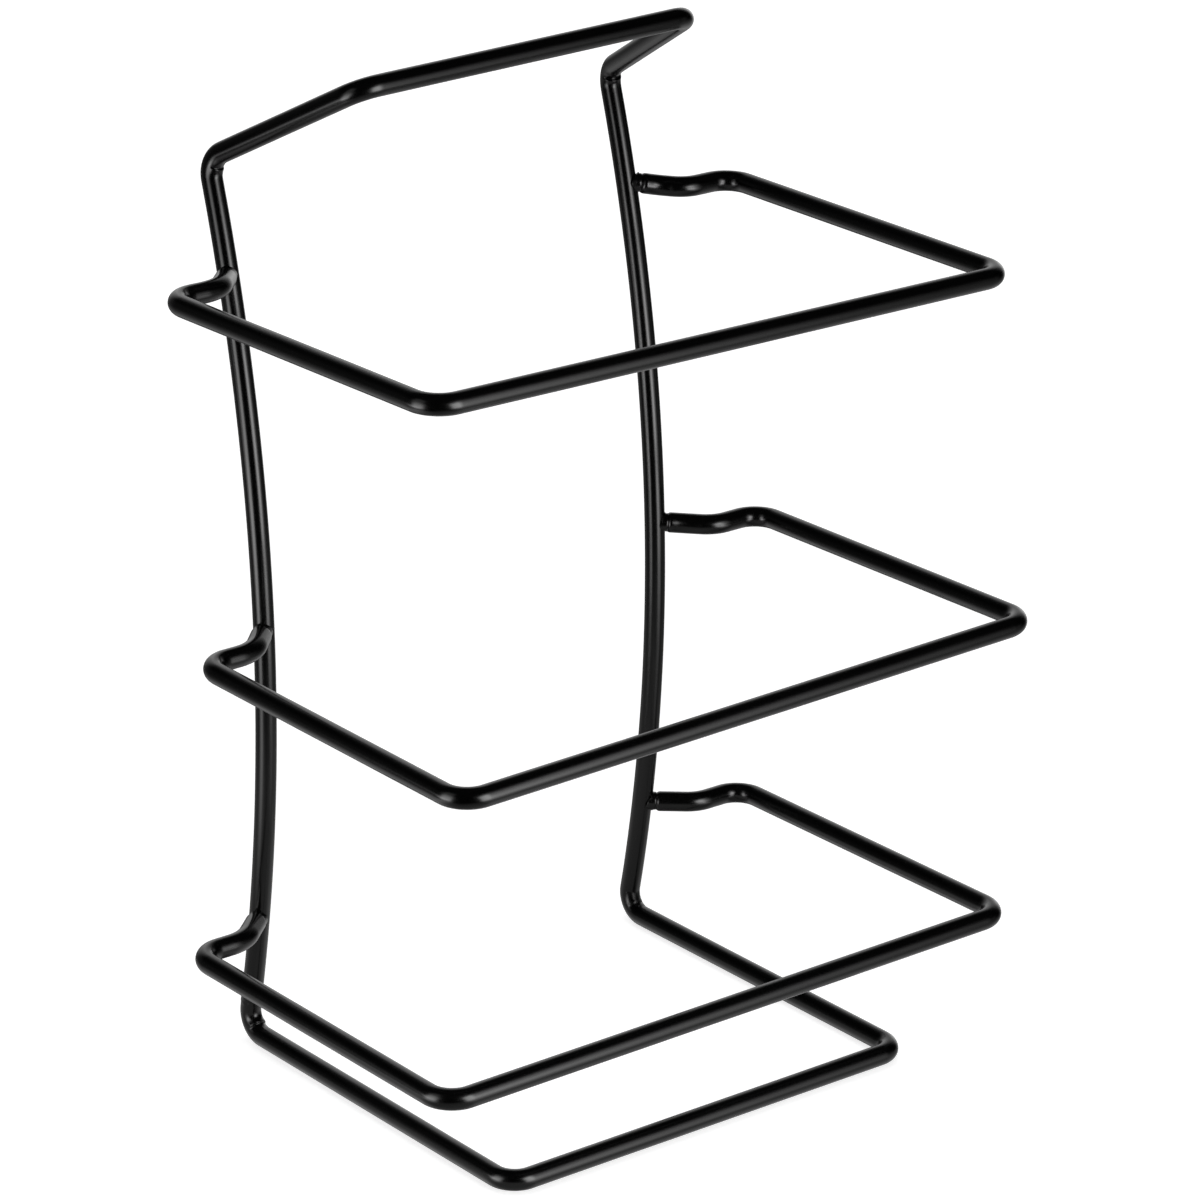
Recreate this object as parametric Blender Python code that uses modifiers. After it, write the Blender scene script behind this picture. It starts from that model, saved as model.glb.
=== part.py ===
"""Three-tier serving stand bent from round steel wire and powder coated black.

One closed frame wire makes the base, the two bowed uprights and the carrying handle.
Three open-backed tier wires are butt welded to the uprights and hold the plates by
their rims. X runs across the stand, the open front is at -Y and Z is up. The origin
is on the floor, at the middle of the whole stand's plan.
"""
import math

import bpy
from mathutils import Matrix, Vector

# Wire stock
wire_diameter = 0.008
wire_sides = 16
end_chamfer = 0.0007
fit_gap = 0.0003

# Frame wire, sizes between wire axes
frame_width = 0.198
base_depth = 0.174
base_corner_radius = 0.0095
foot_bend_radius = 0.0088
upright_height = 0.3625
upright_height_difference = 0.0047
upright_bow = 0.0241
upright_setback = 0.0213
upright_straight_end = 0.018
crook_bend_radius = 0.0099
handle_width = 0.159
handle_reach = 0.0732
handle_rise = 0.0403
handle_height_difference = 0.0048
handle_corner_radius = 0.0105

# Weld that closes the frame wire, on the left upright's straight end above the foot bend
closing_weld_length = 0.0012
closing_weld_crown = 0.0002

# Tier wires, sizes between wire axes
tier_overhang = 0.04145
tier_depth = 0.1633
tier_rear_set = 0.0164
tier_corner_radius = 0.0107
knee_out = 0.0178
knee_radius = 0.0188

# Where each tier sits, and how far it is out of true
top_tier_drop = 0.0441
top_tier_turn = math.radians(0.89)
top_tier_roll = math.radians(0.44)
top_tier_wind = 0.0011
top_tier_shift = 0.001
top_tier_left_end_lift = -0.0015
top_tier_right_end_lift = 0.0012
middle_tier_turn = math.radians(0.29)
middle_tier_roll = math.radians(-1.26)
middle_tier_wind = -0.0018
middle_tier_shift = 0.0011
middle_tier_left_end_lift = 0.0003
middle_tier_right_end_lift = 0.0003
bottom_tier_rise = 0.0532
bottom_tier_turn = math.radians(0.15)
bottom_tier_roll = math.radians(-0.36)
bottom_tier_wind = -0.0006
bottom_tier_shift = -0.001
bottom_tier_left_end_lift = -0.0004
bottom_tier_right_end_lift = -0.0005

# Welds between tier wires and uprights
tier_weld_length = 0.0006
cutter_length = 0.03

# Steps along a wire
bend_steps = 6
upright_steps = 12

# Shares
shared_leg_share = 0.49
free_leg_share = 0.98
crown_bevel_share = 0.25
closing_weld_rise_share = 0.75
middle_tier_rise_share = 0.4697
tier_weld_neck_share = 0.775
tier_weld_flare_share = 0.9

# Worked out from the sizes above
wire_radius = wire_diameter / 2
wire_bevel_resolution = (wire_sides - 4) // 2
facet_turn = math.pi / wire_sides
facet_height = wire_radius * math.cos(facet_turn)
base_axis_height = facet_height
closing_weld_rise = upright_straight_end * closing_weld_rise_share
tier_width = frame_width + 2 * tier_overhang
top_tier_rise = upright_height - top_tier_drop
middle_tier_rise = bottom_tier_rise + (top_tier_rise - bottom_tier_rise) * middle_tier_rise_share
tier_weld_neck_radius = wire_radius * tier_weld_neck_share
tier_weld_flare_radius = wire_radius * tier_weld_flare_share
tier_end_distance = wire_radius + tier_weld_length + 2 * fit_gap
weld_start_distance = tier_end_distance - fit_gap
weld_inner_distance = math.sqrt((wire_radius + fit_gap) ** 2 - tier_weld_flare_radius ** 2)

LEFT = -1
RIGHT = 1

coat_colour = (0.012, 0.012, 0.013, 1.0)
coat_roughness = 0.32
weld_colour = (0.016, 0.016, 0.017, 1.0)
weld_roughness = 0.45


def clear_scene():
    """Remove every object that the file holds."""
    for old in list(bpy.data.objects):
        bpy.data.objects.remove(old, do_unlink=True)


def new_collection(name):
    """Make a collection under the scene's own."""
    group = bpy.data.collections.new(name)
    bpy.context.scene.collection.children.link(group)
    return group


def coat_material(name, colour, roughness):
    """Powder-coated steel."""
    coat = bpy.data.materials.new(name)
    coat.use_nodes = True
    shader = coat.node_tree.nodes["Principled BSDF"]
    shader.inputs["Base Color"].default_value = colour
    shader.inputs["Metallic"].default_value = 0.0
    shader.inputs["Roughness"].default_value = roughness
    coat.diffuse_color = colour
    return coat


def bend(before, corner, after, radius, leg_shares):
    """Points of the arc that rounds one corner of a wire's path, tighter where a leg is short."""
    back = before - corner
    ahead = after - corner
    turn = math.pi - back.angle(ahead)
    run = radius * math.tan(turn / 2)
    run = min(run, leg_shares[0] * back.length, leg_shares[1] * ahead.length)
    fitted_radius = run / math.tan(turn / 2)
    back.normalize()
    ahead.normalize()
    centre = corner + (back + ahead).normalized() * math.hypot(fitted_radius, run)
    start = corner + back * run - centre
    side = start.cross(corner + ahead * run - centre).normalized()
    points = []
    for step in range(bend_steps + 1):
        points.append(centre + Matrix.Rotation(turn * step / bend_steps, 3, side) @ start)
    return points


def leg_share(neighbour_radius):
    """How much of a leg a bend may take up: under half where the leg's other end is bent too."""
    if neighbour_radius:
        return shared_leg_share
    return free_leg_share


def wire_path(stations):
    """Path through stations of (point, bend radius); a radius of zero is passed straight."""
    path = [stations[0][0]]
    for before, station, after in zip(stations, stations[1:], stations[2:]):
        place, radius = station
        if radius:
            leg_shares = (leg_share(before[1]), leg_share(after[1]))
            path.extend(bend(before[0], place, after[0], radius, leg_shares))
        else:
            path.append(place)
    path.append(stations[-1][0])
    return path


def chamfered(path):
    """Path and radius factors of a wire whose two cut ends are chamfered."""
    first = path[0] + (path[1] - path[0]).normalized() * end_chamfer
    last = path[-1] + (path[-2] - path[-1]).normalized() * end_chamfer
    points = [path[0], first] + path[1:-1] + [last, path[-1]]
    end_factor = (wire_radius - end_chamfer) / wire_radius
    factors = [end_factor] + [1.0] * (len(points) - 2) + [end_factor]
    return points, factors


def wire_object(name, path, group, twist_mode):
    """A round wire along a path, as a bevelled curve with filled ends."""
    points, factors = chamfered(path)
    curve = bpy.data.curves.new(name, "CURVE")
    curve.dimensions = "3D"
    curve.twist_mode = twist_mode
    curve.bevel_depth = wire_radius
    curve.bevel_resolution = wire_bevel_resolution
    curve.use_fill_caps = True
    curve.render_resolution_u = 0
    spline = curve.splines.new("POLY")
    spline.points.add(len(points) - 1)
    spline.use_smooth = True
    for station, place, factor in zip(spline.points, points, factors):
        station.co = (place.x, place.y, place.z, 1.0)
        station.radius = factor
        station.tilt = facet_turn
    wire = bpy.data.objects.new(name, curve)
    wire.data.materials.append(coat_material(name + "_coat", coat_colour, coat_roughness))
    group.objects.link(wire)
    return wire


def upright_top_rise(side):
    """Height of an upright's crook above the base axis; the right one is a little taller."""
    return upright_height + side * upright_height_difference / 2


def upright_axis(side, rise):
    """Point on an upright's axis at a height above the base axis."""
    share = rise / upright_height
    depth = upright_setback * share - 4 * upright_bow * share * (1 - share)
    return Vector((side * frame_width / 2, depth, base_axis_height + rise))


def upright_direction(side, rise):
    """Unit vector up along an upright's axis."""
    step = wire_radius
    return (upright_axis(side, rise + step) - upright_axis(side, rise - step)).normalized()


def upright_stations(side):
    """Stations up an upright's bow, between the straight stretches beside its two bends."""
    low = upright_straight_end
    high = upright_top_rise(side) - upright_straight_end
    stations = []
    for step in range(upright_steps + 1):
        rise = low + (high - low) * step / upright_steps
        stations.append((upright_axis(side, rise), 0))
    return stations


def foot(side):
    """Corner between a base rail and an upright."""
    return upright_axis(side, 0)


def base_corner(side):
    """Front corner of the base."""
    return Vector((side * frame_width / 2, -base_depth, base_axis_height))


def crook(side):
    """Corner between an upright and its handle arm."""
    return upright_axis(side, upright_top_rise(side))


def handle_corner(side):
    """Corner between a handle arm and the crossbar."""
    rise = upright_height + handle_rise + side * handle_height_difference / 2
    depth = upright_setback - handle_reach
    return Vector((side * handle_width / 2, depth, base_axis_height + rise))


def closing_weld_place():
    """Middle of the weld that closes the frame wire, and the wire's direction there."""
    low = foot(LEFT)
    up = (upright_axis(LEFT, upright_straight_end) - low).normalized()
    return low + up * closing_weld_rise, up


def frame_path():
    """The frame wire's path, from below its closing weld right round to above it."""
    weld, up = closing_weld_place()
    half_opening = closing_weld_length / 2 + fit_gap
    stations = [(weld - up * half_opening, 0)]
    stations.append((foot(LEFT), foot_bend_radius))
    stations.append((base_corner(LEFT), base_corner_radius))
    stations.append((base_corner(RIGHT), base_corner_radius))
    stations.append((foot(RIGHT), foot_bend_radius))
    stations.extend(upright_stations(RIGHT))
    stations.append((crook(RIGHT), crook_bend_radius))
    stations.append((handle_corner(RIGHT), handle_corner_radius))
    stations.append((handle_corner(LEFT), handle_corner_radius))
    stations.append((crook(LEFT), crook_bend_radius))
    stations.extend(reversed(upright_stations(LEFT)))
    stations.append((weld + up * half_opening, 0))
    return wire_path(stations)


def tier_place(tier, across, back):
    """World place of a point in a tier's plan, from the line between the uprights' axes."""
    rear_share = (back + tier_rear_set + tier_depth) / tier_depth
    lift = tier["wind"] * across / (tier_width / 2) * rear_share
    turned = Matrix.Rotation(tier["roll"], 3, "Y") @ Matrix.Rotation(tier["turn"], 3, "Z")
    middle = (upright_axis(LEFT, tier["rise"]) + upright_axis(RIGHT, tier["rise"])) / 2
    return middle + turned @ Vector((across + tier["shift"], back, lift))


def tier_knee(tier, side):
    """Corner of the tier wire where it turns back towards the upright."""
    return tier_place(tier, side * (frame_width / 2 + knee_out), -tier_rear_set)


def tier_joint(tier, side):
    """Point on the upright's axis that the tier wire's end aims at, and the way out to the knee."""
    knee = tier_knee(tier, side)
    centre = upright_axis(side, knee.z - base_axis_height + tier["end_lifts"][side])
    return centre, (knee - centre).normalized()


def tier_path(tier):
    """A tier wire's path, from its left end round the front to its right end."""
    halves = {}
    for side in (LEFT, RIGHT):
        centre, out = tier_joint(tier, side)
        rear = tier_place(tier, side * tier_width / 2, -tier_rear_set)
        front = tier_place(tier, side * tier_width / 2, -tier_rear_set - tier_depth)
        halves[side] = [
            (centre + out * tier_end_distance, 0),
            (tier_knee(tier, side), knee_radius),
            (rear, tier_corner_radius),
            (front, tier_corner_radius),
        ]
    return wire_path(halves[LEFT] + list(reversed(halves[RIGHT])))


def cone_along(name, start, direction, length, radii, group):
    """A straight round bar or cone from a start point along a direction."""
    bpy.ops.mesh.primitive_cone_add(
        vertices=wire_sides,
        radius1=radii[0],
        radius2=radii[1],
        depth=length,
        location=start + direction * length / 2,
        rotation=direction.to_track_quat("Z", "Y").to_euler(),
    )
    bar = bpy.context.object
    bar.name = name
    bar.data.name = name
    for owner in list(bar.users_collection):
        owner.objects.unlink(bar)
    group.objects.link(bar)
    return bar


def tier_weld(tier, side, side_name, parts, cutters):
    """Weld neck between a tier wire's cut end and the flank of its upright."""
    centre, out = tier_joint(tier, side)
    name = tier["name"] + "_" + side_name + "_weld"
    length = weld_start_distance - weld_inner_distance
    radii = (tier_weld_neck_radius, tier_weld_flare_radius)
    neck = cone_along(name, centre + out * weld_start_distance, -out, length, radii, parts)
    axis = upright_direction(side, centre.z - base_axis_height)
    start = centre - axis * cutter_length / 2
    clear = wire_radius + fit_gap
    cutter = cone_along(name + "_cutter", start, axis, cutter_length, (clear, clear), cutters)
    cutter.hide_render = True
    cutter.display_type = "WIRE"
    cut = neck.modifiers.new("saddle", "BOOLEAN")
    cut.operation = "DIFFERENCE"
    cut.solver = "EXACT"
    cut.object = cutter
    neck.data.materials.append(coat_material(name + "_coat", weld_colour, weld_roughness))
    return neck


def closing_weld(parts):
    """Weld between the frame wire's two ends, standing a little proud of the wire."""
    middle, up = closing_weld_place()
    start = middle - up * closing_weld_length / 2
    radius = wire_radius + closing_weld_crown
    weld = cone_along("frame_closing_weld", start, up, closing_weld_length, (radius, radius), parts)
    rounding = weld.modifiers.new("crown", "BEVEL")
    rounding.width = closing_weld_length * crown_bevel_share
    rounding.segments = 1
    weld.data.materials.append(coat_material("frame_closing_weld_coat", weld_colour, weld_roughness))
    return weld


def tier_settings():
    """Name, height and set of each tier."""
    return (
        {
            "name": "top_tier",
            "rise": top_tier_rise,
            "turn": top_tier_turn,
            "roll": top_tier_roll,
            "wind": top_tier_wind,
            "shift": top_tier_shift,
            "end_lifts": {LEFT: top_tier_left_end_lift, RIGHT: top_tier_right_end_lift},
        },
        {
            "name": "middle_tier",
            "rise": middle_tier_rise,
            "turn": middle_tier_turn,
            "roll": middle_tier_roll,
            "wind": middle_tier_wind,
            "shift": middle_tier_shift,
            "end_lifts": {LEFT: middle_tier_left_end_lift, RIGHT: middle_tier_right_end_lift},
        },
        {
            "name": "bottom_tier",
            "rise": bottom_tier_rise,
            "turn": bottom_tier_turn,
            "roll": bottom_tier_roll,
            "wind": bottom_tier_wind,
            "shift": bottom_tier_shift,
            "end_lifts": {LEFT: bottom_tier_left_end_lift, RIGHT: bottom_tier_right_end_lift},
        },
    )


def world_box(objects):
    """Low and high corners of what the viewport shows of some objects."""
    view = bpy.context.evaluated_depsgraph_get()
    places = []
    for thing in objects:
        shown = thing.evaluated_get(view)
        mesh = shown.to_mesh()
        places.extend(shown.matrix_world @ vertex.co for vertex in mesh.vertices)
        shown.to_mesh_clear()
    low = Vector(min(place[axis] for place in places) for axis in range(3))
    high = Vector(max(place[axis] for place in places) for axis in range(3))
    return low, high


def stand_on_origin(parts, cutters):
    """Put the middle of the stand's plan on the origin, by moving the empty that carries it."""
    bpy.context.view_layer.update()
    low, high = world_box(parts.objects)
    carrier = bpy.data.objects.new("stand_origin", None)
    carrier.empty_display_size = wire_diameter
    bpy.context.scene.collection.objects.link(carrier)
    for thing in list(parts.objects) + list(cutters.objects):
        thing.parent = carrier
    carrier.location = Vector((-(low.x + high.x) / 2, -(low.y + high.y) / 2, -low.z))


def build_stand():
    """Model the whole stand."""
    clear_scene()
    parts = new_collection("tiered_serving_stand")
    cutters = new_collection("cutters")
    wire_object("frame_wire", frame_path(), parts, "MINIMUM")
    closing_weld(parts)
    for tier in tier_settings():
        wire_object(tier["name"] + "_wire", tier_path(tier), parts, "Z_UP")
        tier_weld(tier, LEFT, "left", parts, cutters)
        tier_weld(tier, RIGHT, "right", parts, cutters)
    stand_on_origin(parts, cutters)


build_stand()
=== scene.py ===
"""Looks of the three-tier serving stand: coated steel wires, their welds and the studio."""

import math

import bpy
from mathutils import Euler, Matrix, Vector, noise


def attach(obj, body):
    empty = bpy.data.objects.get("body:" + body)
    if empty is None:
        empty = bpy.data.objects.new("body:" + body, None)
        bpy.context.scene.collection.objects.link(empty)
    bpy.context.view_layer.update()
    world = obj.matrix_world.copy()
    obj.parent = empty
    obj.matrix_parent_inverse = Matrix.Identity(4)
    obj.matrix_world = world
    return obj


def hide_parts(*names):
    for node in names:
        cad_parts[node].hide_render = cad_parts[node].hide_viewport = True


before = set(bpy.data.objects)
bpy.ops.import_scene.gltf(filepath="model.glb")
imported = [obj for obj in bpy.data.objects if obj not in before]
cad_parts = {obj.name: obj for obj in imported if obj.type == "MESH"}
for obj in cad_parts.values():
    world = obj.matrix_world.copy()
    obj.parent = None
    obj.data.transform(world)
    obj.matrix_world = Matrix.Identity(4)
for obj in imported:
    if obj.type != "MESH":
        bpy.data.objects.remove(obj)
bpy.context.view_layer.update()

bl_info = {
    "name": "Tiered Serving Stand",
    "version": (1, 0, 0),
    "blender": (4, 5, 0),
    "location": "3D View > Sidebar > Serving Stand",
    "description": "Builds a three-tier serving stand of black powder-coated steel wire",
    "category": "Add Mesh",
}

BODY = "root"
LEFT = -1
RIGHT = 1
SIDE_NAMES = {LEFT: "left", RIGHT: "right"}
TIER_NAMES = ("top_tier", "middle_tier", "bottom_tier")

# Paths. A bend between two straight legs may use up to this share of each: less where the
# leg has another bend at its far end.
SHARED_LEG_SHARE = 0.49
FREE_LEG_SHARE = 0.98

# Half the stretch over which an upright's direction is taken
SLOPE_STEP = 0.004

# Share of the closing weld's step that the foot's cut end itself stands forward
CUT_END_STEP_SHARE = 1 / 3

# Right stubs: the way that they bow, back and slightly down, and where between the upright
# and the knee they bow the most
STUB_SWAY = Vector((0.588, 0.726, -0.358))
STUB_SWAY_PLACE = 0.55

# Rings along a wire: a run shorter than this has none, rings stand closer within reach of a
# press mark, and a mark lifts or sinks no ring that is farther from it than its limit
SHORTEST_RUN = 1e-7
MARK_STEP = 0.00022
MARK_REACH = 0.007
MARK_LIMIT = 0.012

# Rounding of a cut end: its rings, and how near the end a ring has to be to give way to them
END_STEPS = 10
END_REACH = 0.02

# Bends of the frame wire that bear a press mark, counted from its closing weld
FOOT_LEFT = 0
FOOT_RIGHT = 3
CROOK_RIGHT = 4
CROOK_LEFT = 7

# Press marks: the bend, whether its upright comes first along the wire, and how far into
# the bend the mark stands. Then the height of its lip on the upright's side, how fast the
# lip fades and how fast it falls, the depth and length of the pinch beyond it, and how much
# of the wire's inner side the mark leaves free at its rim.
PRESS_MARK_KEYS = ("lip", "taper", "edge", "pinch", "pinch_run", "rim")
PRESS_MARKS = (
    (FOOT_LEFT, True, 0.6, (0.0008, 0.0035, 0.0009, 0.00012, 0.003, 0.2)),
    (FOOT_RIGHT, False, 0.5, (0, 0.003, 0.0022, 0.00025, 0.004, 0.3)),
    (CROOK_RIGHT, True, 0.42, (0.0002, 0.0022, 0.0007, 0.001, 0.0042, 0.1)),
    (CROOK_LEFT, False, 0.44, (0.00048, 0.0042, 0.0009, 0.0002, 0.0022, 0.42)),
)

# Rings of a tier's bead. Each has its distance from the upright's axis, in upright radii,
# weld gaps and end roundings, its radius, in flares and necks, and how far it is seated.
# A ring seats no farther round the upright than its widest seat, a share of the radius.
BEAD_RINGS = (
    ((0, 0, 0), (0.96, 0), 0.98),
    ((0, 0, 0), (1, 0), 1),
    ((1, 0.2, 0), (0.6, 0.4), 0.75),
    ((1, 0.6, 0), (0, 1.02), 0.35),
    ((1, 1, 0), (0, 0.99), 0.1),
    ((1, 1, 0.25), (0, 1.01), 0),
    ((1, 1, 0.6), (0, 0.9), 0),
)
WIDEST_SEAT = 0.998
CLOSING_BEAD_STEPS = 8

# Seeds of the beads' unevenness
CLOSING_BEAD_SEED = 7.0
TIER_BEAD_SEED_STEP = 3.0

# Coat: index of refraction, size and detail of its noises, where its edges and clouds start
# and end, how much of the thin coat's colour they bring, and how deep its relief is
COAT_IOR = 1.8
CLOUD_SIZE = 0.045
CLOUD_DETAIL = 2
PEEL_DETAIL = 1
GRAIN_DETAIL = 2
EDGE_RANGE = (0.52, 0.6)
EDGE_WEAR = 0.6
THIN_CLOUD_RANGE = (0.45, 0.8)
THIN_CLOUD_SHARE = 0.3
DULL_CLOUD_RANGE = (0.3, 0.7)
WIRE_RELIEF = 1.0
WELD_RELIEF = 3.0

# Glows of the room round the stand, in degrees: heading, lift, half width, half height,
# soft edges, then strength
FLOOR_GLOWS = (
    (18, -44, 172, 8, 2, 36, 0.7),
    (68, -30, 36, 28, 2, 4, 7),
    (143, -17, 54, 40, 3, 13, 0.05),
    (-48, -29, 7, 38, 22, 12, 0.53),
)
FLOOR_SHADE = (36, -33, 102, 60, 38, 2, 1)
BACKDROP_GLOWS = (
    (-151, 15, 3, 20, 38, 12, 1.55),
    (-122, -1, 6, 3, 21, 38, 3.7),
    (73, 77, 174, 38, 4, 8, 0.007),
)

# Soft boxes: heading, distance and tilt, then the bright fields on each, in metres: across,
# up, half width, half height, soft edges, then strength
SOFT_BOXES = {
    "front_soft_box": (-16.5, 0.785, -12.4, (
        (0.164, 0.31, 0.192, 0.313, 0.091, 0.157, 2.453),
        (-0.018, 0.26, 0.15, 0.439, 0.29, 0.3, 1.48),
    )),
    "left_soft_box": (100.3, 0.673, 9.9, (
        (-0.046, 0.069, 0.197, 0.069, 0.204, 0.026, 1.23),
        (-0.157, 0.187, 0.162, 0.213, 0.073, 0.225, 2.1),
        (-0.061, 0.659, 0.174, 0.233, 0.015, 0.048, 0.247),
    )),
}
SOFT_BOX_HEIGHT = 0.2

# Bright fields on the floor, laid out as those of a soft box
FLOOR_PATCHES = (
    (-0.363, 0.045, 0.058, 0.059, 0.129, 0.2, 1.41),
    (-0.046, -0.075, 0.209, 0.304, 0.214, 0.213, 0.19),
)

# Floor, room and camera. The floor fades to white between two distances from the stand.
WHITE = (1, 1, 1, 1)
FLOOR_ROUGHNESS = 0.5
FLOOR_FADE = (0.3, 1.5)
SENSOR_WIDTH = 36
NEAREST_SEEN = 0.05


def length(label, about, default):
    """A size in metres that the user may change."""
    return bpy.props.FloatProperty(
        name=label, description=about, default=default, precision=5, unit="LENGTH"
    )


def share(label, about, default):
    """A plain number that the user may change."""
    return bpy.props.FloatProperty(name=label, description=about, default=default, precision=4)


def per_tier(label, about, default, unit):
    """One value for each tier, from the top down."""
    return bpy.props.FloatVectorProperty(
        name=label, description=about, default=default, size=3, precision=5, unit=unit
    )


def colour(label, about, default):
    """A colour with its alpha."""
    return bpy.props.FloatVectorProperty(
        name=label, description=about, default=default, size=4, min=0, max=1, subtype="COLOR"
    )


class WireSizes(bpy.types.PropertyGroup):
    """The wire that the whole stand is bent from."""

    diameter: length("Wire diameter", "Thickness of the wire with its coat", 0.0085)
    sides: bpy.props.IntProperty(name="Sides", description="Faces round the wire", default=48)
    end_round: length("Cut end rounding", "How far a cut end is rounded over", 0.0022)
    longest_step: length("Longest step", "Longest stretch between two rings", 0.003)
    bend_steps: bpy.props.IntProperty(name="Bend steps", description="Rings in a bend", default=28)
    bow_steps: bpy.props.IntProperty(
        name="Bow steps", description="Rings up an upright", default=60
    )
    waviness: length("Waviness", "How far the wire's skin strays from true", 0.00003)
    wave_length: length("Wave length", "Length of that straying", 0.03)


class FrameSizes(bpy.types.PropertyGroup):
    """The closed frame wire, sizes between wire axes."""

    width: length("Frame width", "Between the uprights", 0.198)
    base_depth: length("Base depth", "From the uprights to the front rail", 0.174)
    base_corner_radius: length("Base corner radius", "Front corners of the base", 0.0095)
    foot_bend_radius: length("Foot bend radius", "Where a base rail turns up", 0.0088)
    draw_in: length("Draw in", "How far each upright leans in from its base rail", 0.00022)
    upright_height: length("Upright height", "From the base to the crook", 0.3625)
    upright_height_difference: length("Upright difference", "Right upright above left", 0.0047)
    upright_bow: length("Upright bow", "How far the uprights bow forward", 0.0241)
    upright_setback: length("Upright setback", "How far the crooks stand behind the feet", 0.0213)
    upright_straight_end: length("Straight end", "Unbowed stretch beside a bend", 0.018)
    crook_bend_radius: length("Crook bend radius", "Where an upright turns into its arm", 0.0099)
    handle_width: length("Handle width", "Length of the crossbar", 0.159)
    handle_reach: length("Handle reach", "How far the crossbar stands forward", 0.0732)
    handle_rise: length("Handle rise", "How far the crossbar stands above the crooks", 0.0403)
    handle_height_difference: length("Handle difference", "Right corner above left", 0.0048)
    handle_corner_radius: length("Handle corner radius", "Corners of the crossbar", 0.0105)
    foot_line: length("Foot line", "How far the uprights' feet stand behind the origin", 0.086974)
    side_shift: length("Side shift", "How far the frame stands to one side", -0.001339)
    axis_height: length("Base axis height", "Base wire's axis above the floor", 0.003923)


class TierSizes(bpy.types.PropertyGroup):
    """The three tier wires, sizes between wire axes."""

    width: length("Tier width", "Between the side rails", 0.2809)
    depth: length("Tier depth", "From the rear corners to the front rail", 0.1633)
    rear_set: length("Rear set", "How far the rear corners stand before the uprights", 0.0164)
    corner_radius: length("Corner radius", "Corners of a tier", 0.0107)
    knee_out: length("Knee out", "How far the knee stands outside its upright", 0.0178)
    knee_radius: length("Knee radius", "Bend at the knee", 0.0188)
    rises: per_tier("Rises", "Tier above the base axis", (0.3184, 0.177762, 0.0532), "LENGTH")
    turns: per_tier(
        "Turns",
        "Turn about the upright axis",
        [math.radians(d) for d in (0.89, 0.29, 0.15)],
        "ROTATION",
    )
    rolls: per_tier(
        "Rolls", "Tilt to one side", [math.radians(d) for d in (0.44, -1.26, -0.36)], "ROTATION"
    )
    winds: per_tier("Winds", "Twist of the front rail", (0.0011, -0.0018, -0.0006), "LENGTH")
    shifts: per_tier("Shifts", "Shift to one side", (0.001, 0.0011, -0.001), "LENGTH")
    left_lifts: per_tier(
        "Left lifts", "Left end above its knee", (-0.0015, 0.0003, -0.0004), "LENGTH"
    )
    right_fronts: per_tier(
        "Right fronts", "Right end before its upright's axis", (0.0013, -0.0004, 0.001), "LENGTH"
    )
    sway_radius: length("Sway radius", "Bend of a bowed stub", 0.03)
    right_sways: per_tier(
        "Right sways",
        "How far the right stub bows away from the front left",
        (0.0032, 0.002, 0.0004),
        "LENGTH",
    )
    right_lifts: per_tier(
        "Right lifts", "Right end above its knee", (0.0024, 0.0009, -0.0004), "LENGTH"
    )


class WeldSizes(bpy.types.PropertyGroup):
    """The weld beads."""

    gap: length("Weld gap", "From an upright's skin to a tier wire's cut end", 0.0005)
    neck_share: share("Neck share", "Bead's waist against the wire", 0.9)
    flare_share: share("Flare share", "Bead's foot on the upright against the wire", 0.93)
    flare_stretch: share("Flare stretch", "How much longer its foot is along the upright", 0.07)
    roughness: length("Bead unevenness", "How uneven a bead is", 0.00013)
    ripple: length("Bead ripple", "Size of that unevenness", 0.0016)
    closing_rise: length("Closing weld rise", "Closing weld above the foot corner", 0.0135)
    closing_step: length("Closing weld step", "How far the foot's end stands forward", 0.0005)
    closing_length: length("Closing weld length", "Closing bead along the wire", 0.0026)
    closing_crown: length("Closing weld crown", "Closing bead above the wire", 0.00008)


class CoatSettings(bpy.types.PropertyGroup):
    """Colours and finish of the powder coat."""

    coat_colour: colour("Coat", "Black powder coat", (0.0005, 0.0005, 0.00053, 1))
    thin_colour: colour("Thin coat", "Thin coat on edges", (0.0015, 0.0015, 0.0016, 1))
    weld_colour: colour("Weld coat", "Coat over a weld", (0.0008, 0.0008, 0.0009, 1))
    gloss_roughness: share("Smooth", "Roughness where the coat flowed well", 0.2)
    dull_roughness: share("Dull", "Roughness where the coat is dull", 0.23)
    peel_size: length("Peel size", "Size of the coat's ripples", 0.0016)
    peel_depth: length("Peel depth", "Depth of the coat's ripples", 0.000006)
    grain_size: length("Grain size", "Size of the coat's grain", 0.00028)
    grain_depth: length("Grain depth", "Depth of the coat's grain", 0.0000006)


class StudioSettings(bpy.types.PropertyGroup):
    """Floor, lamps and camera."""

    floor_colour: colour("Floor", "Pale floor", (0.6, 0.6, 0.6, 1))
    floor_size: length("Floor size", "Side of the floor", 30)
    floor_drop: length("Floor drop", "Floor below the stand's origin", 0.00036)
    floor_glow: share("Floor glow", "How much of its white the floor shows unlit", 0.79)
    lamp_size: length("Lamp size", "Side of the square lamp overhead", 1.6)
    lamp_height: length("Lamp height", "Lamp above the floor", 1.7)
    lamp_power: bpy.props.FloatProperty(name="Lamp power", description="In watts", default=14)
    camera_place: bpy.props.FloatVectorProperty(
        name="Camera place",
        description="Where the camera stands",
        default=(-1.184469, -1.476440, 0.909619),
        precision=6,
        unit="LENGTH",
    )
    camera_turn: bpy.props.FloatVectorProperty(
        name="Camera turn",
        description="How the camera is turned",
        default=(1.2028709, -0.0175274, -0.6809106),
        precision=6,
        unit="ROTATION",
    )
    lens: bpy.props.FloatProperty(name="Lens", description="In millimetres", default=154.897)
    shift_across: share("Shift across", "Camera shift to the side", -0.030126)
    shift_up: share("Shift up", "Camera shift upward", 0.026936)


# Paths of the wires


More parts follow.
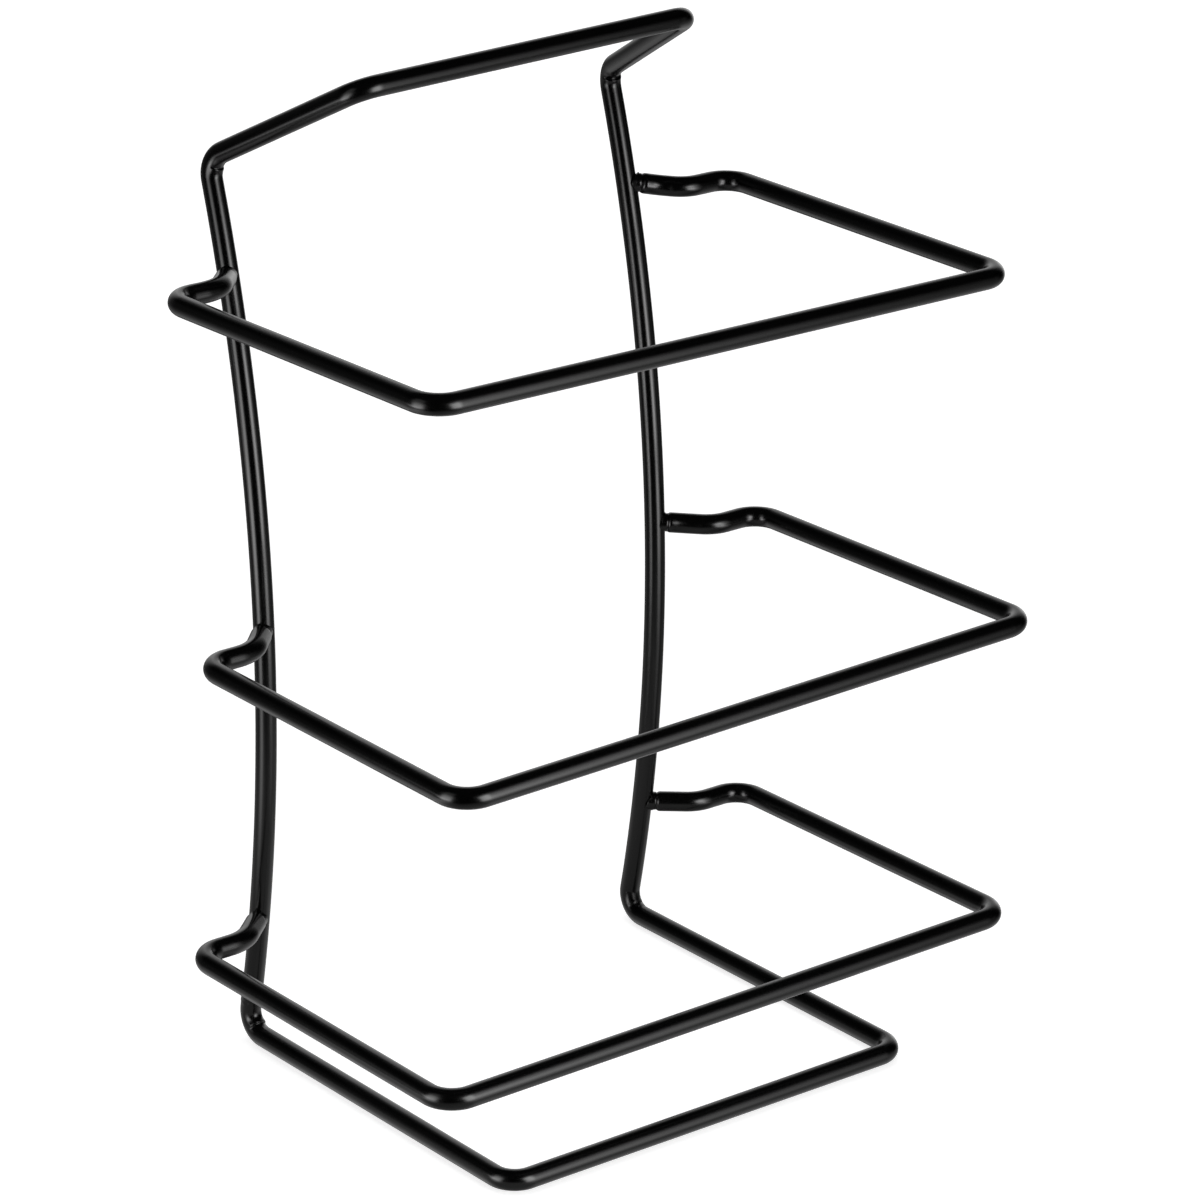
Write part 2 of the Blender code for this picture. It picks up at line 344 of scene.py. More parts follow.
def settings():
    """The scene's property groups, by short names."""
    scene = bpy.context.scene
    return scene.stand_wire, scene.stand_frame, scene.stand_tiers, scene.stand_welds


def bend(before, corner, after, radius, shares):
    """Points of the arc that rounds one corner of a wire's path."""
    back = before - corner
    ahead = after - corner
    turn = math.pi - back.angle(ahead)
    run = min(radius * math.tan(turn / 2), shares[0] * back.length, shares[1] * ahead.length)
    fitted = run / math.tan(turn / 2)
    back.normalize()
    ahead.normalize()
    inward = (back + ahead).normalized()
    centre = corner + inward * math.hypot(fitted, run)
    start = corner + back * run - centre
    hinge = start.cross(corner + ahead * run - centre).normalized()
    steps = bpy.context.scene.stand_wire.bend_steps
    points = []
    for k in range(steps + 1):
        points.append(centre + Matrix.Rotation(turn * k / steps, 3, hinge) @ start)
    return points, centre


def wire_path(stations):
    """Path through stations of (point, bend radius), with each bend's arc and its centre."""
    path = [stations[0][0]]
    bends = []
    for before, station, after in zip(stations, stations[1:], stations[2:]):
        place, radius = station
        if radius:
            shares = []
            for neighbour in (before, after):
                shares.append(SHARED_LEG_SHARE if neighbour[1] else FREE_LEG_SHARE)
            points, centre = bend(before[0], place, after[0], radius, shares)
            bends.append((points, centre))
            path.extend(points)
        else:
            path.append(place)
    path.append(stations[-1][0])
    return path, bends


def upright_axis(side, rise):
    """Point on an upright's axis at a height above the base axis."""
    sizes = bpy.context.scene.stand_frame
    part = rise / sizes.upright_height
    depth = sizes.upright_setback * part - 4 * sizes.upright_bow * part * (1 - part)
    return Vector((side * (sizes.width / 2 - sizes.draw_in), depth, sizes.axis_height + rise))


def upright_direction(side, rise):
    """Unit vector up along an upright's axis."""
    above = upright_axis(side, rise + SLOPE_STEP)
    return (above - upright_axis(side, rise - SLOPE_STEP)).normalized()


def crook_rise(side):
    """Height of a crook above the base axis."""
    sizes = bpy.context.scene.stand_frame
    return sizes.upright_height + side * sizes.upright_height_difference / 2


def upright_stations(side):
    """Stations up an upright's bow, between the straight stretches beside its two bends."""
    wire, sizes, _, _ = settings()
    low = sizes.upright_straight_end
    high = crook_rise(side) - sizes.upright_straight_end
    steps = wire.bow_steps
    return [(upright_axis(side, low + (high - low) * k / steps), 0) for k in range(steps + 1)]


def crook(side):
    """Corner between an upright and its handle arm."""
    return upright_axis(side, crook_rise(side))


def base_corner(side):
    """Front corner of the base."""
    sizes = bpy.context.scene.stand_frame
    return Vector((side * sizes.width / 2, -sizes.base_depth, sizes.axis_height))


def handle_corner(side):
    """Corner between a handle arm and the crossbar."""
    sizes = bpy.context.scene.stand_frame
    rise = sizes.upright_height + sizes.handle_rise + side * sizes.handle_height_difference / 2
    depth = sizes.upright_setback - sizes.handle_reach
    return Vector((side * sizes.handle_width / 2, depth, sizes.axis_height + rise))


def closing_place():
    """Middle of the weld that closes the frame wire, and the wire's direction there."""
    _, sizes, _, welds = settings()
    low = upright_axis(LEFT, 0)
    up = (upright_axis(LEFT, sizes.upright_straight_end) - low).normalized()
    return low + up * welds.closing_rise, up


def frame_path():
    """The frame wire's path, from its closing weld right round and back to it."""
    _, sizes, _, welds = settings()
    weld, up = closing_place()
    ahead = Vector((0, -welds.closing_step, 0))
    overlap = up * welds.closing_length / 4
    stations = [
        (weld - overlap + ahead * CUT_END_STEP_SHARE, 0),
        (upright_axis(LEFT, 0) + ahead, sizes.foot_bend_radius),
        (base_corner(LEFT), sizes.base_corner_radius),
        (base_corner(RIGHT), sizes.base_corner_radius),
        (upright_axis(RIGHT, 0), sizes.foot_bend_radius),
        *upright_stations(RIGHT),
        (crook(RIGHT), sizes.crook_bend_radius),
        (handle_corner(RIGHT), sizes.handle_corner_radius),
        (handle_corner(LEFT), sizes.handle_corner_radius),
        (crook(LEFT), sizes.crook_bend_radius),
        *reversed(upright_stations(LEFT)),
        (weld + overlap, 0),
    ]
    return wire_path(stations)


def tier_place(tier, across, back):
    """Place of a point in a tier's plan, from the line between the uprights' axes."""
    tiers = bpy.context.scene.stand_tiers
    rear_share = (back + tiers.rear_set + tiers.depth) / tiers.depth
    lift = tiers.winds[tier] * across / (tiers.width / 2) * rear_share
    rolled = Matrix.Rotation(tiers.rolls[tier], 3, "Y")
    turned = rolled @ Matrix.Rotation(tiers.turns[tier], 3, "Z")
    middle = (upright_axis(LEFT, tiers.rises[tier]) + upright_axis(RIGHT, tiers.rises[tier])) / 2
    return middle + turned @ Vector((across + tiers.shifts[tier], back, lift))


def tier_joint(tier, side):
    """Point on the upright's axis, point that the wire's end aims at, its way out, its knee."""
    _, sizes, tiers, _ = settings()
    knee = tier_place(tier, side * (sizes.width / 2 + tiers.knee_out), -tiers.rear_set)
    lifts = tiers.left_lifts if side == LEFT else tiers.right_lifts
    ahead = 0 if side == LEFT else tiers.right_fronts[tier]
    centre = upright_axis(side, knee.z - sizes.axis_height + lifts[tier])
    start = centre + Vector((0, -ahead, 0))
    return centre, start, (knee - start).normalized(), knee


def tier_path(tier):
    """A tier wire's path, from its left end round the front to its right end."""
    wire, _, tiers, welds = settings()
    halves = {}
    for side in (LEFT, RIGHT):
        _, start, out, knee = tier_joint(tier, side)
        rear = tier_place(tier, side * tiers.width / 2, -tiers.rear_set)
        front = tier_place(tier, side * tiers.width / 2, -tiers.rear_set - tiers.depth)
        halves[side] = [(start + out * (wire.diameter / 2 + welds.gap), 0)]
        if side == RIGHT and tiers.right_sways[tier]:
            swayed = start.lerp(knee, STUB_SWAY_PLACE) + STUB_SWAY * tiers.right_sways[tier]
            halves[side].append((swayed, tiers.sway_radius))
        halves[side] += [
            (knee, tiers.knee_radius),
            (rear, tiers.corner_radius),
            (front, tiers.corner_radius),
        ]
    return wire_path(halves[LEFT] + list(reversed(halves[RIGHT])))


# Skins of wires and beads


def finely_stepped(path, longest, dense_places, dense_step, reach):
    """Path with its long stretches cut up, more finely beside the dense places."""
    fine = [path[0]]
    for start, end in zip(path, path[1:]):
        run = (end - start).length
        if run < SHORTEST_RUN:
            continue
        done = 0.0
        while True:
            here = start.lerp(end, done / run)
            near = any((here - place).length < reach for place in dense_places)
            step = dense_step if near else longest
            done += step
            if done > run - step / 2:
                break
            fine.append(start.lerp(end, done / run))
        fine.append(end)
    return fine


def carried_frames(path):
    """Direction and two cross axes at each point of a path, turned as little as can be."""
    tangents = []
    for k in range(len(path)):
        before = path[max(k - 1, 0)]
        after = path[min(k + 1, len(path) - 1)]
        tangents.append((after - before).normalized())
    side = tangents[0].orthogonal().normalized()
    frames = []
    for tangent in tangents:
        side = (side - tangent * side.dot(tangent)).normalized()
        frames.append((tangent, side, tangent.cross(side)))
    return frames


def eased(part):
    """A smooth rise from 0 to 1."""
    return part * part * (3 - 2 * part)


def press_offset(mark, along, inward_share):
    """How far a press mark lifts or sinks the skin, along the wire from its lip."""
    inner = (inward_share - mark["rim"]) / (1 - mark["rim"])
    if inner <= 0:
        return 0.0
    if along >= 0:
        swell = mark["lip"] * math.exp(-((along / mark["taper"]) ** 2))
    else:
        fall = eased(min(-along / mark["edge"], 1.0))
        rest = eased(max(0.0, 1 + along / mark["pinch_run"]))
        swell = mark["lip"] * (1 - fall) - mark["pinch"] * fall * rest
    return swell * eased(inner)


def mesh_object(name, points, faces, material):
    """A smooth-shaded mesh from points and faces."""
    mesh = bpy.data.meshes.new(name)
    mesh.from_pydata([tuple(p) for p in points], [], faces)
    mesh.update()
    mesh.polygons.foreach_set("use_smooth", [True] * len(faces))
    mesh.materials.append(material)
    thing = bpy.data.objects.new(name, mesh)
    bpy.context.scene.collection.objects.link(thing)
    return thing


def tube_faces(rings, sides, closed):
    """Faces of a tube of rings, capped at both ends unless it is closed."""
    faces = []
    last = rings if closed else rings - 1
    for ring in range(last):
        here, there = ring * sides, (ring + 1) % rings * sides
        for k in range(sides):
            after = (k + 1) % sides
            faces.append((here + k, here + after, there + after, there + k))
    if not closed:
        faces.append(tuple(reversed(range(sides))))
        faces.append(tuple((rings - 1) * sides + k for k in range(sides)))
    return faces


def wire_skin(name, path, marks, material, closed):
    """A round wire along a path: rounded cut ends, bending marks and a slightly uneven skin."""
    wire = bpy.context.scene.stand_wire
    radius = wire.diameter / 2
    marked = [mark["place"] for mark in marks]
    places = finely_stepped(path, wire.longest_step, marked, MARK_STEP, MARK_REACH)
    frames = carried_frames(places)
    rings = [(place, axes, radius) for place, axes in zip(places, frames)]
    if not closed:
        rings = round_ends(rings, radius, wire.end_round)
    run = [0.0]
    for before, after in zip(rings, rings[1:]):
        run.append(run[-1] + (after[0] - before[0]).length)
    for mark in marks:
        nearest = min(range(len(rings)), key=lambda k: (rings[k][0] - mark["place"]).length)
        mark["run"] = run[nearest]
    points = []
    for k, (place, (tangent, side, up), reach) in enumerate(rings):
        for turn in range(wire.sides):
            around = 2 * math.pi * turn / wire.sides
            out = side * math.cos(around) + up * math.sin(around)
            skin = reach
            if reach == radius:
                spot = (place + out * radius) / wire.wave_length
                skin += wire.waviness * noise.noise(spot)
                for mark in marks:
                    along = (run[k] - mark["run"]) * mark["way"]
                    if abs(along) < MARK_LIMIT:
                        skin += press_offset(mark, along, out.dot(mark["inward"]))
            points.append(place + out * skin)
    return mesh_object(name, points, tube_faces(len(rings), wire.sides, closed), material)


def round_ends(rings, radius, rounding):
    """Rings with both cut ends rounded over, so that each shrinks in a quarter circle."""
    for _ in (LEFT, RIGHT):
        place, axes, _ = rings[0]
        ahead = (rings[1][0] - place).normalized()
        kept = []
        for ring in rings:
            away = ring[0] - place
            if away.dot(ahead) > rounding or away.length > END_REACH:
                kept.append(ring)
        edge = []
        for step in range(END_STEPS + 1):
            turn = math.pi / 2 * step / END_STEPS
            sunk = ahead * rounding * (1 - math.cos(turn))
            shrunk = radius - rounding * (1 - math.sin(turn))
            edge.append((place + sunk, axes, min(shrunk, radius)))
        rings = list(reversed(edge + kept))
    return rings


def frame_marks(bends):
    """The press marks on the inside of the frame's tight bends."""
    marks = []
    for index, upright_first, part, shape in PRESS_MARKS:
        arc, centre = bends[index]
        steps = len(arc) - 1
        place = arc[round(part * steps)] if upright_first else arc[steps - round(part * steps)]
        mark = dict(zip(PRESS_MARK_KEYS, shape))
        mark["place"] = place
        mark["inward"] = (centre - place).normalized()
        mark["way"] = -1 if upright_first else 1
        marks.append(mark)
    return marks


def bead_skin(name, centre, out, up, profile, closed_in, material, seed):
    """An uneven weld bead round an axis. Each profile entry is (distance, radius, seated).

    A seated ring lies on an upright through the centre and is longer up and down it.
    """
    wire, _, _, welds = settings()
    radius = wire.diameter / 2
    across = out.cross(up).normalized()
    up = across.cross(out).normalized()
    sides = wire.sides
    points = []
    for distance, reach, seated in profile:
        for turn in range(sides):
            around = 2 * math.pi * turn / sides
            spoke = up * math.cos(around) + across * math.sin(around)
            spot = (out * distance + spoke * reach) / welds.ripple
            rim = reach + welds.roughness * noise.noise(spot + Vector((seed, 0, 0)))
            rim *= 1 + welds.flare_stretch * seated * math.cos(around) ** 2
            depth = distance
            if closed_in:
                lateral = min(abs(rim * math.sin(around)), radius * WIDEST_SEAT)
                flank = math.sqrt(radius * radius - lateral * lateral)
                depth = flank * seated + distance * (1 - seated)
            points.append(centre + out * depth + spoke * rim)
    return mesh_object(name, points, tube_faces(len(profile), sides, False), material)


def stand_shift():
    """From the uprights' foot line to the stand's origin."""
    sizes = bpy.context.scene.stand_frame
    return Vector((sizes.side_shift, sizes.foot_line, 0))


def stands_for(thing, *nodes):
    """Seat a piece on the stand in place of its plain solids."""
    thing.data.transform(Matrix.Translation(stand_shift()))
    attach(thing, BODY)
    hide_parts(*nodes)


# Materials


def add_node(tree, kind, where, **inputs):
    """A shader node at a place, with some of its inputs set by name."""
    made = tree.nodes.new(kind)
    made.location = where
    for name, value in inputs.items():
        made.inputs[name.replace("_", " ")].default_value = value
    return made


def math_node(tree, operation, where, *values):
    """A math node on values or sockets."""
    made = add_node(tree, "ShaderNodeMath", where)
    made.operation = operation
    for entry, value in zip(made.inputs, values):
        if isinstance(value, (int, float)):
            entry.default_value = value
        else:
            tree.links.new(value, entry)
    return made.outputs["Value"]


def spread(tree, source, where, given, wanted):
    """Stretch a value's range."""
    made = add_node(tree, "ShaderNodeMapRange", where)
    for name, value in zip(("From Min", "From Max", "To Min", "To Max"), (*given, *wanted)):
        made.inputs[name].default_value = value
    tree.links.new(source, made.inputs["Value"])
    return made.outputs["Result"]


def powder_coat(name, body_colour, relief):
    """Semi-gloss powder coat: orange-peel ripple, fine grain, thin on edges and in patches."""
    coat = bpy.context.scene.stand_coat
    material = bpy.data.materials.new(name)
    material.use_nodes = True
    tree = material.node_tree
    shader = tree.nodes["Principled BSDF"]
    shader.location = (500, 0)
    shader.inputs["IOR"].default_value = COAT_IOR
    place = add_node(tree, "ShaderNodeTexCoord", (-1100, 0)).outputs["Object"]

    def clouds(where, size, detail):
        made = add_node(tree, "ShaderNodeTexNoise", where, Scale=1 / size, Detail=detail)
        tree.links.new(place, made.inputs["Vector"])
        return made.outputs["Fac"]

    def bump(where, height, depth):
        made = add_node(tree, "ShaderNodeBump", where, Strength=1.0, Distance=depth * relief)
        tree.links.new(height, made.inputs["Height"])
        return made

    drift = clouds((-900, 300), CLOUD_SIZE, CLOUD_DETAIL)
    geometry = add_node(tree, "ShaderNodeNewGeometry", (-900, 600))
    edge = spread(tree, geometry.outputs["Pointiness"], (-700, 600), EDGE_RANGE, (0, 1))
    thin = spread(tree, drift, (-700, 300), THIN_CLOUD_RANGE, (0, THIN_CLOUD_SHARE))
    shade = add_node(tree, "ShaderNodeMix", (-300, 400))
    shade.data_type = "RGBA"
    shade.inputs["A"].default_value = body_colour
    shade.inputs["B"].default_value = coat.thin_colour
    wear = math_node(tree, "MULTIPLY_ADD", (-500, 500), edge, EDGE_WEAR, thin)
    tree.links.new(wear, shade.inputs["Factor"])
    tree.links.new(shade.outputs["Result"], shader.inputs["Base Color"])
    finish = (coat.gloss_roughness, coat.dull_roughness)
    rough = spread(tree, drift, (-300, 100), DULL_CLOUD_RANGE, finish)
    tree.links.new(rough, shader.inputs["Roughness"])
    peel = clouds((-900, 0), coat.peel_size, PEEL_DETAIL)
    grain = clouds((-900, -300), coat.grain_size, GRAIN_DETAIL)
    ripple = bump((0, -200), peel, coat.peel_depth)
    fine = bump((200, -300), grain, coat.grain_depth)
    tree.links.new(ripple.outputs["Normal"], fine.inputs["Normal"])
    tree.links.new(fine.outputs["Normal"], shader.inputs["Normal"])
    return material


def wire_coat(name):
    """Coat on a bent wire."""
    return powder_coat(name, bpy.context.scene.stand_coat.coat_colour, WIRE_RELIEF)


def weld_coat(name):
    """Coat over a weld, more uneven."""
    return powder_coat(name, bpy.context.scene.stand_coat.weld_colour, WELD_RELIEF)


# Studio


def soft_edge(tree, value, where, half, soft):
    """1 where a distance is well within a half width, fading to 0 over a soft edge."""
    made = add_node(tree, "ShaderNodeMapRange", where)
    made.interpolation_type = "SMOOTHSTEP"
    made.inputs["From Min"].default_value = half + soft
    made.inputs["From Max"].default_value = half - soft
    tree.links.new(value, made.inputs["Value"])
    return made.outputs["Result"]


def glowing_fields(tree, across, up, fields, unit, whole_turn):
    """Sum of soft-edged bright fields over two coordinates of a plane or of the whole room."""
    total = None
    for row, (middle, rise, half, tall, soft, soft_tall, glow) in enumerate(fields):
        height = -500 * row
        aside = math_node(tree, "SUBTRACT", (-900, height), across, middle * unit)
        if whole_turn:
            aside = math_node(tree, "WRAP", (-750, height), aside, math.pi, -math.pi)
        aside = math_node(tree, "ABSOLUTE", (-600, height), aside)
        off = math_node(tree, "SUBTRACT", (-900, height - 200), up, rise * unit)
        off = math_node(tree, "ABSOLUTE", (-600, height - 200), off)
        wide = soft_edge(tree, aside, (-400, height), half * unit, soft * unit)
        high = soft_edge(tree, off, (-400, height - 200), tall * unit, soft_tall * unit)
        field = math_node(tree, "MULTIPLY", (-200, height), wide, high)
        if total is None:
            total = math_node(tree, "MULTIPLY", (0, height), field, glow)
        else:
            total = math_node(tree, "MULTIPLY_ADD", (0, height), field, glow, total)
    return total


def glow_plane(name, corner_pairs, turn, fields):
    """A see-through plane with soft bright fields, which adds their light to what is behind it."""
    (low_x, low_y), (high_x, high_y) = corner_pairs
    material = bpy.data.materials.new(name + "_glow")
    material.use_nodes = True
    tree = material.node_tree
    tree.nodes.remove(tree.nodes["Principled BSDF"])
    place = add_node(tree, "ShaderNodeTexCoord", (-1300, 0)).outputs["Object"]
    parts = add_node(tree, "ShaderNodeSeparateXYZ", (-1100, 0))
    tree.links.new(place, parts.inputs["Vector"])
    glow = add_node(tree, "ShaderNodeEmission", (200, 0))
    strength = glowing_fields(tree, parts.outputs["X"], parts.outputs["Y"], fields, 1, False)
    tree.links.new(strength, glow.inputs["Strength"])
    clear = add_node(tree, "ShaderNodeBsdfTransparent", (200, -200))
    both = add_node(tree, "ShaderNodeAddShader", (400, 0))
    tree.links.new(glow.outputs["Emission"], both.inputs[0])
    tree.links.new(clear.outputs["BSDF"], both.inputs[1])
    tree.links.new(both.outputs["Shader"], tree.nodes["Material Output"].inputs["Surface"])
    corners = [(low_x, low_y, 0), (high_x, low_y, 0), (high_x, high_y, 0), (low_x, high_y, 0)]
    plane = mesh_object(name, corners, [(0, 1, 2, 3)], material)
    plane.matrix_world = turn
    plane.visible_camera = False
    plane.visible_shadow = False
    return plane


def field_corners(fields):
    """Corners of a plane that holds all its bright fields."""
    low = [min(f[k] - f[2 + k] - f[4 + k] for f in fields) for k in range(2)]
    high = [max(f[k] + f[2 + k] + f[4 + k] for f in fields) for k in range(2)]
    return low, high


def soft_box(name, heading, distance, tilt, fields):
    """An upright soft box that faces the stand, tilted in its own plane."""
    around = math.radians(heading)
    back = Vector((-math.sin(around), -math.cos(around), 0))
    level = Vector((-math.cos(around), math.sin(around), 0))
    lean = math.radians(tilt)
    across = level * math.cos(lean) + Vector((0, 0, math.sin(lean)))
    up = level * -math.sin(lean) + Vector((0, 0, math.cos(lean)))
    centre = back * distance + Vector((0, 0, SOFT_BOX_HEIGHT))
    turn = Matrix((across, up, across.cross(up))).transposed().to_4x4()
    lowered = [(f[0], f[1] - SOFT_BOX_HEIGHT, *f[2:]) for f in fields]
    return glow_plane(name, field_corners(lowered), Matrix.Translation(centre) @ turn, lowered)


def overhead_lamp():
    """A broad soft light from above that lights the floor, and that the gloss doesn't show."""
    studio = bpy.context.scene.stand_studio
    light = bpy.data.lights.new("overhead_soft_box", "AREA")
    light.shape = "SQUARE"
    light.size = studio.lamp_size
    light.energy = studio.lamp_power
    lamp = bpy.data.objects.new("overhead_soft_box", light)
    lamp.location = (0, 0, studio.lamp_height)
    lamp.visible_camera = False
    lamp.visible_glossy = False
    bpy.context.scene.collection.objects.link(lamp)


def floor_material():
    """Pale floor that keeps a faint shadow and reads as white to the camera."""
    studio = bpy.context.scene.stand_studio
    material = bpy.data.materials.new("pale_floor")
    material.use_nodes = True
    tree = material.node_tree
    shader = tree.nodes["Principled BSDF"]
    shader.inputs["Base Color"].default_value = studio.floor_colour
    shader.inputs["Roughness"].default_value = FLOOR_ROUGHNESS
    place = add_node(tree, "ShaderNodeTexCoord", (-1100, 0)).outputs["Object"]
    away = add_node(tree, "ShaderNodeVectorMath", (-900, 0))
    away.operation = "LENGTH"
    tree.links.new(place, away.inputs[0])
    own = spread(tree, away.outputs["Value"], (-700, 0), FLOOR_FADE, (studio.floor_glow, 1))
    seen = add_node(tree, "ShaderNodeLightPath", (-700, 300)).outputs["Is Camera Ray"]
    glow = add_node(tree, "ShaderNodeEmission", (-200, -200))
    tree.links.new(math_node(tree, "MULTIPLY", (-400, 200), seen, own), glow.inputs["Strength"])
    both = add_node(tree, "ShaderNodeAddShader", (300, 0))
    tree.links.new(shader.outputs["BSDF"], both.inputs[0])
    tree.links.new(glow.outputs["Emission"], both.inputs[1])
    tree.links.new(both.outputs["Shader"], tree.nodes["Material Output"].inputs["Surface"])
    return material


def studio_world():
    """White to the camera, and a dim room with a pale floor and backdrop to the gloss."""
    world = bpy.data.worlds.new("studio")
    bpy.context.scene.world = world
    world.use_nodes = True
    tree = world.node_tree
    toward = add_node(tree, "ShaderNodeTexCoord", (-1900, 0)).outputs["Generated"]
    parts = add_node(tree, "ShaderNodeSeparateXYZ", (-1700, 0))
    tree.links.new(toward, parts.inputs["Vector"])
    west = math_node(tree, "MULTIPLY", (-1500, 0), parts.outputs["X"], -1)
    south = math_node(tree, "MULTIPLY", (-1500, -200), parts.outputs["Y"], -1)
    heading = math_node(tree, "ARCTAN2", (-1300, 0), west, south)
    lift = math_node(tree, "ARCSINE", (-1300, -200), parts.outputs["Z"])
    degree = math.radians(1)
    floor_glow = glowing_fields(tree, heading, lift, FLOOR_GLOWS, degree, True)
    shade = glowing_fields(tree, heading, lift, [FLOOR_SHADE], degree, True)
    left_over = math_node(tree, "SUBTRACT", (200, 0), 1, shade)
    floor_glow = math_node(tree, "MULTIPLY", (350, 0), floor_glow, left_over)
    backdrop = glowing_fields(tree, heading, lift, BACKDROP_GLOWS, degree, True)
    strength = math_node(tree, "ADD", (500, 0), floor_glow, backdrop)
    room = tree.nodes["Background"]
    room.inputs["Color"].default_value = WHITE
    room.location = (700, 0)
    tree.links.new(strength, room.inputs["Strength"])
    white = add_node(tree, "ShaderNodeBackground", (700, -200), Strength=1.0)
    white.inputs["Color"].default_value = WHITE
    path = add_node(tree, "ShaderNodeLightPath", (700, 400))
    both = add_node(tree, "ShaderNodeMixShader", (900, 0))
    tree.links.new(path.outputs["Is Camera Ray"], both.inputs["Fac"])
    tree.links.new(room.outputs["Background"], both.inputs[1])
    tree.links.new(white.outputs["Background"], both.inputs[2])
    tree.links.new(both.outputs["Shader"], tree.nodes["World Output"].inputs["Surface"])


# Operators


class SERVING_OT_frame_wire(bpy.types.Operator):
    """Bend the closed wire of the base, the uprights and the handle"""

    bl_idname = "serving_stand.frame_wire"
    bl_label = "Frame Wire"

    def execute(self, context):
        path, bends = frame_path()
        marks = frame_marks(bends)
        skin = wire_skin("coated_frame_wire", path, marks, wire_coat("frame_coat"), True)
        stands_for(skin, "frame_wire")
        return {"FINISHED"}


class SERVING_OT_closing_weld(bpy.types.Operator):
    """Lay the bead that closes the frame wire"""

    bl_idname = "serving_stand.closing_weld"
    bl_label = "Closing Weld"

    def execute(self, context):
        wire, _, _, welds = settings()
        middle, up = closing_place()
        radius = wire.diameter / 2
        half = welds.closing_length / 2
        profile = []
        for step in range(CLOSING_BEAD_STEPS + 1):
            part = -1 + 2 * step / CLOSING_BEAD_STEPS
            crown = welds.closing_crown * (1 - 2 * part * part)
            profile.append((half * part, radius + crown, 0))
        side = up.orthogonal().normalized()
        coat = weld_coat("frame_weld_coat")
        bead = bead_skin(
            "frame_closing_bead", middle, up, side, profile, False, coat, CLOSING_BEAD_SEED
        )
        stands_for(bead, "frame_closing_weld")
        return {"FINISHED"}


class SERVING_OT_tier_wires(bpy.types.Operator):
    """Bend the three open-backed tier wires"""

    bl_idname = "serving_stand.tier_wires"
    bl_label = "Tier Wires"

    def execute(self, context):
        for tier, name in enumerate(TIER_NAMES):
            path, _ = tier_path(tier)
            coat = wire_coat(name + "_coat")
            skin = wire_skin("coated_" + name + "_wire", path, [], coat, False)
            stands_for(skin, name + "_wire")
        return {"FINISHED"}


class SERVING_OT_tier_welds(bpy.types.Operator):
    """Lay the beads that join the tier wires to the uprights"""

    bl_idname = "serving_stand.tier_welds"
    bl_label = "Tier Welds"

    def execute(self, context):
        wire, sizes, _, welds = settings()
        radius = wire.diameter / 2
        flare = radius * welds.flare_share
        neck = radius * welds.neck_share
        profile = []
        for (radii, gaps, roundings), (flares, necks), seated in BEAD_RINGS:
            distance = radius * radii + welds.gap * gaps + wire.end_round * roundings
            profile.append((distance, flare * flares + neck * necks, seated))
        for tier, name in enumerate(TIER_NAMES):
            for side in (LEFT, RIGHT):
                centre, start, out, _ = tier_joint(tier, side)
                axis = upright_direction(side, centre.z - sizes.axis_height)
                bead_name = name + "_" + SIDE_NAMES[side]
                seed = TIER_BEAD_SEED_STEP * tier + side
                coat = weld_coat(bead_name + "_weld_coat")
                middle = (centre + start) / 2
                bead = bead_skin(bead_name + "_bead", middle, out, axis, profile, True, coat, seed)
                stands_for(bead, bead_name + "_weld")
        return {"FINISHED"}


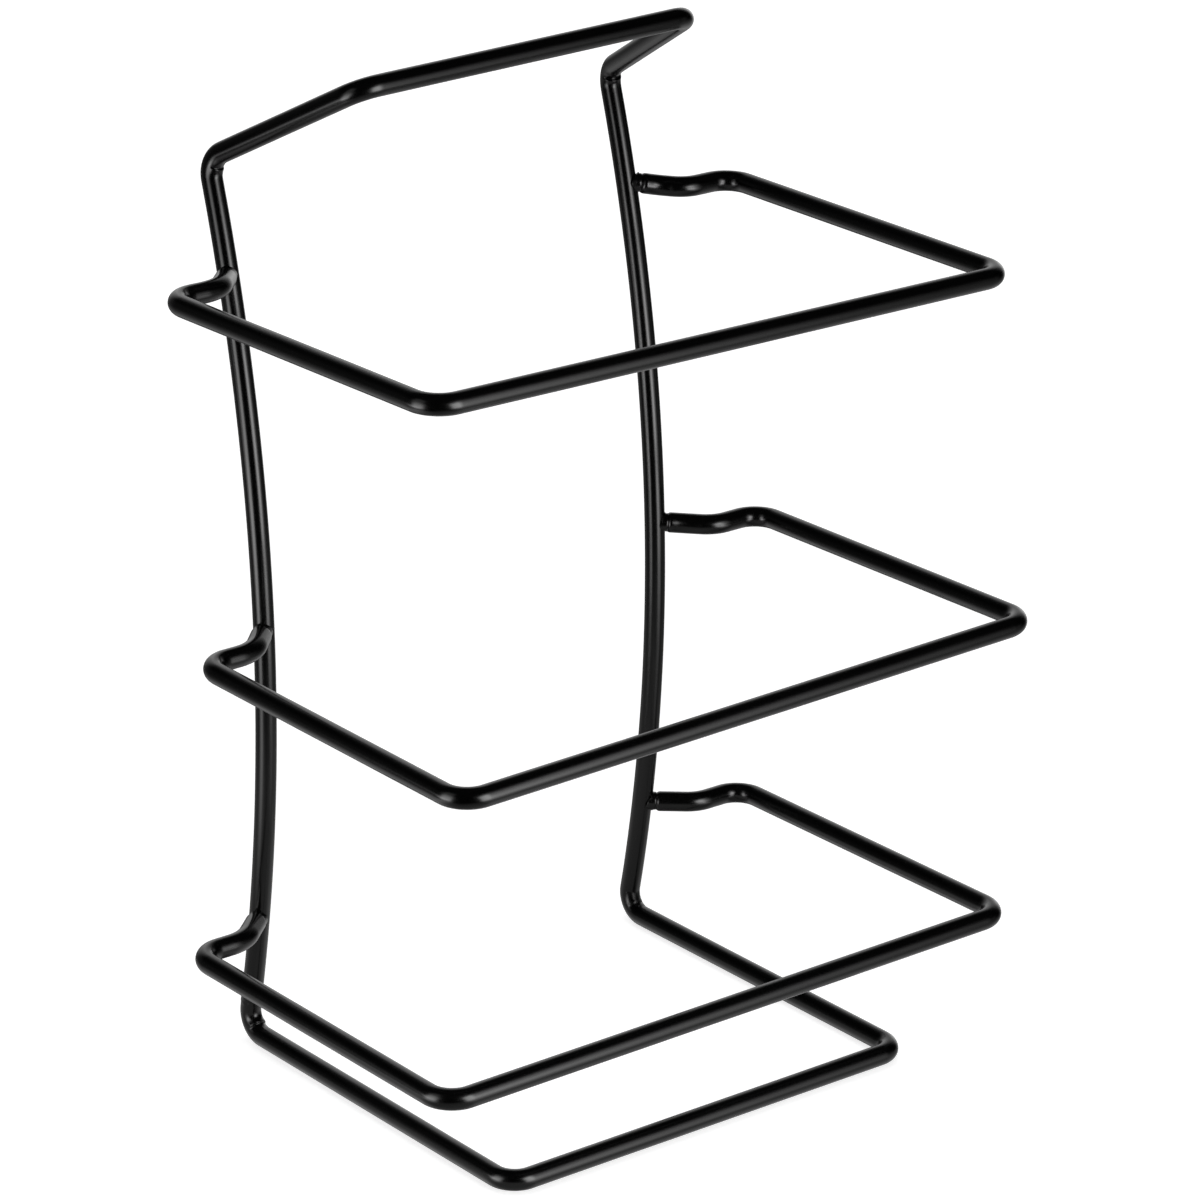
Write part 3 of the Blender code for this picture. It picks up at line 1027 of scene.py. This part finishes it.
class SERVING_OT_studio(bpy.types.Operator):
    """Set the pale floor, the soft lamps and the camera"""

    bl_idname = "serving_stand.studio"
    bl_label = "Studio"

    def execute(self, context):
        scene = context.scene
        studio = scene.stand_studio
        half = studio.floor_size / 2
        drop = -studio.floor_drop
        corners = [(x * half, y * half, drop) for x, y in ((-1, -1), (1, -1), (1, 1), (-1, 1))]
        floor = mesh_object("floor", corners, [(0, 1, 2, 3)], floor_material())
        floor.visible_glossy = False
        floor.visible_shadow = False
        studio_world()
        for name, (heading, distance, tilt, fields) in SOFT_BOXES.items():
            soft_box(name, heading, distance, tilt, fields)
        on_floor = Matrix.Translation((0, 0, drop))
        patches = glow_plane("floor_glow", field_corners(FLOOR_PATCHES), on_floor, FLOOR_PATCHES)
        patches.visible_diffuse = False
        overhead_lamp()
        lens = bpy.data.cameras.new("photo_camera")
        lens.sensor_width = SENSOR_WIDTH
        lens.lens = studio.lens
        lens.shift_x = studio.shift_across
        lens.shift_y = studio.shift_up
        lens.clip_start = NEAREST_SEEN
        camera = bpy.data.objects.new("photo_camera", lens)
        camera.location = studio.camera_place
        camera.rotation_euler = Euler(studio.camera_turn, "XYZ")
        scene.collection.objects.link(camera)
        scene.camera = camera
        scene.view_settings.view_transform = "Standard"
        return {"FINISHED"}


class SERVING_PT_stand(bpy.types.Panel):
    """Sizes and steps of the serving stand"""

    bl_idname = "SERVING_PT_stand"
    bl_label = "Serving Stand"
    bl_space_type = "VIEW_3D"
    bl_region_type = "UI"
    bl_category = "Serving Stand"

    def draw(self, context):
        layout = self.layout
        for operator in OPERATORS:
            layout.operator(operator.bl_idname)
        for name in GROUPS:
            box = layout.box()
            box.label(text=GROUPS[name].__doc__)
            group = getattr(context.scene, name)
            for entry in GROUPS[name].__annotations__:
                box.prop(group, entry)


GROUPS = {
    "stand_wire": WireSizes,
    "stand_frame": FrameSizes,
    "stand_tiers": TierSizes,
    "stand_welds": WeldSizes,
    "stand_coat": CoatSettings,
    "stand_studio": StudioSettings,
}
OPERATORS = (
    SERVING_OT_frame_wire,
    SERVING_OT_closing_weld,
    SERVING_OT_tier_wires,
    SERVING_OT_tier_welds,
    SERVING_OT_studio,
)


def register():
    """Register the settings, the operators and the panel."""
    for name, group in GROUPS.items():
        bpy.utils.register_class(group)
        setattr(bpy.types.Scene, name, bpy.props.PointerProperty(type=group))
    for operator in OPERATORS:
        bpy.utils.register_class(operator)
    bpy.utils.register_class(SERVING_PT_stand)


def unregister():
    """Take the settings, the operators and the panel away again."""
    bpy.utils.unregister_class(SERVING_PT_stand)
    for operator in reversed(OPERATORS):
        bpy.utils.unregister_class(operator)
    for name, group in reversed(GROUPS.items()):
        delattr(bpy.types.Scene, name)
        bpy.utils.unregister_class(group)


def main():
    """Build the stand and its studio."""
    register()
    bpy.ops.serving_stand.frame_wire()
    bpy.ops.serving_stand.closing_weld()
    bpy.ops.serving_stand.tier_wires()
    bpy.ops.serving_stand.tier_welds()
    bpy.ops.serving_stand.studio()


if __name__ == "__main__":
    main()
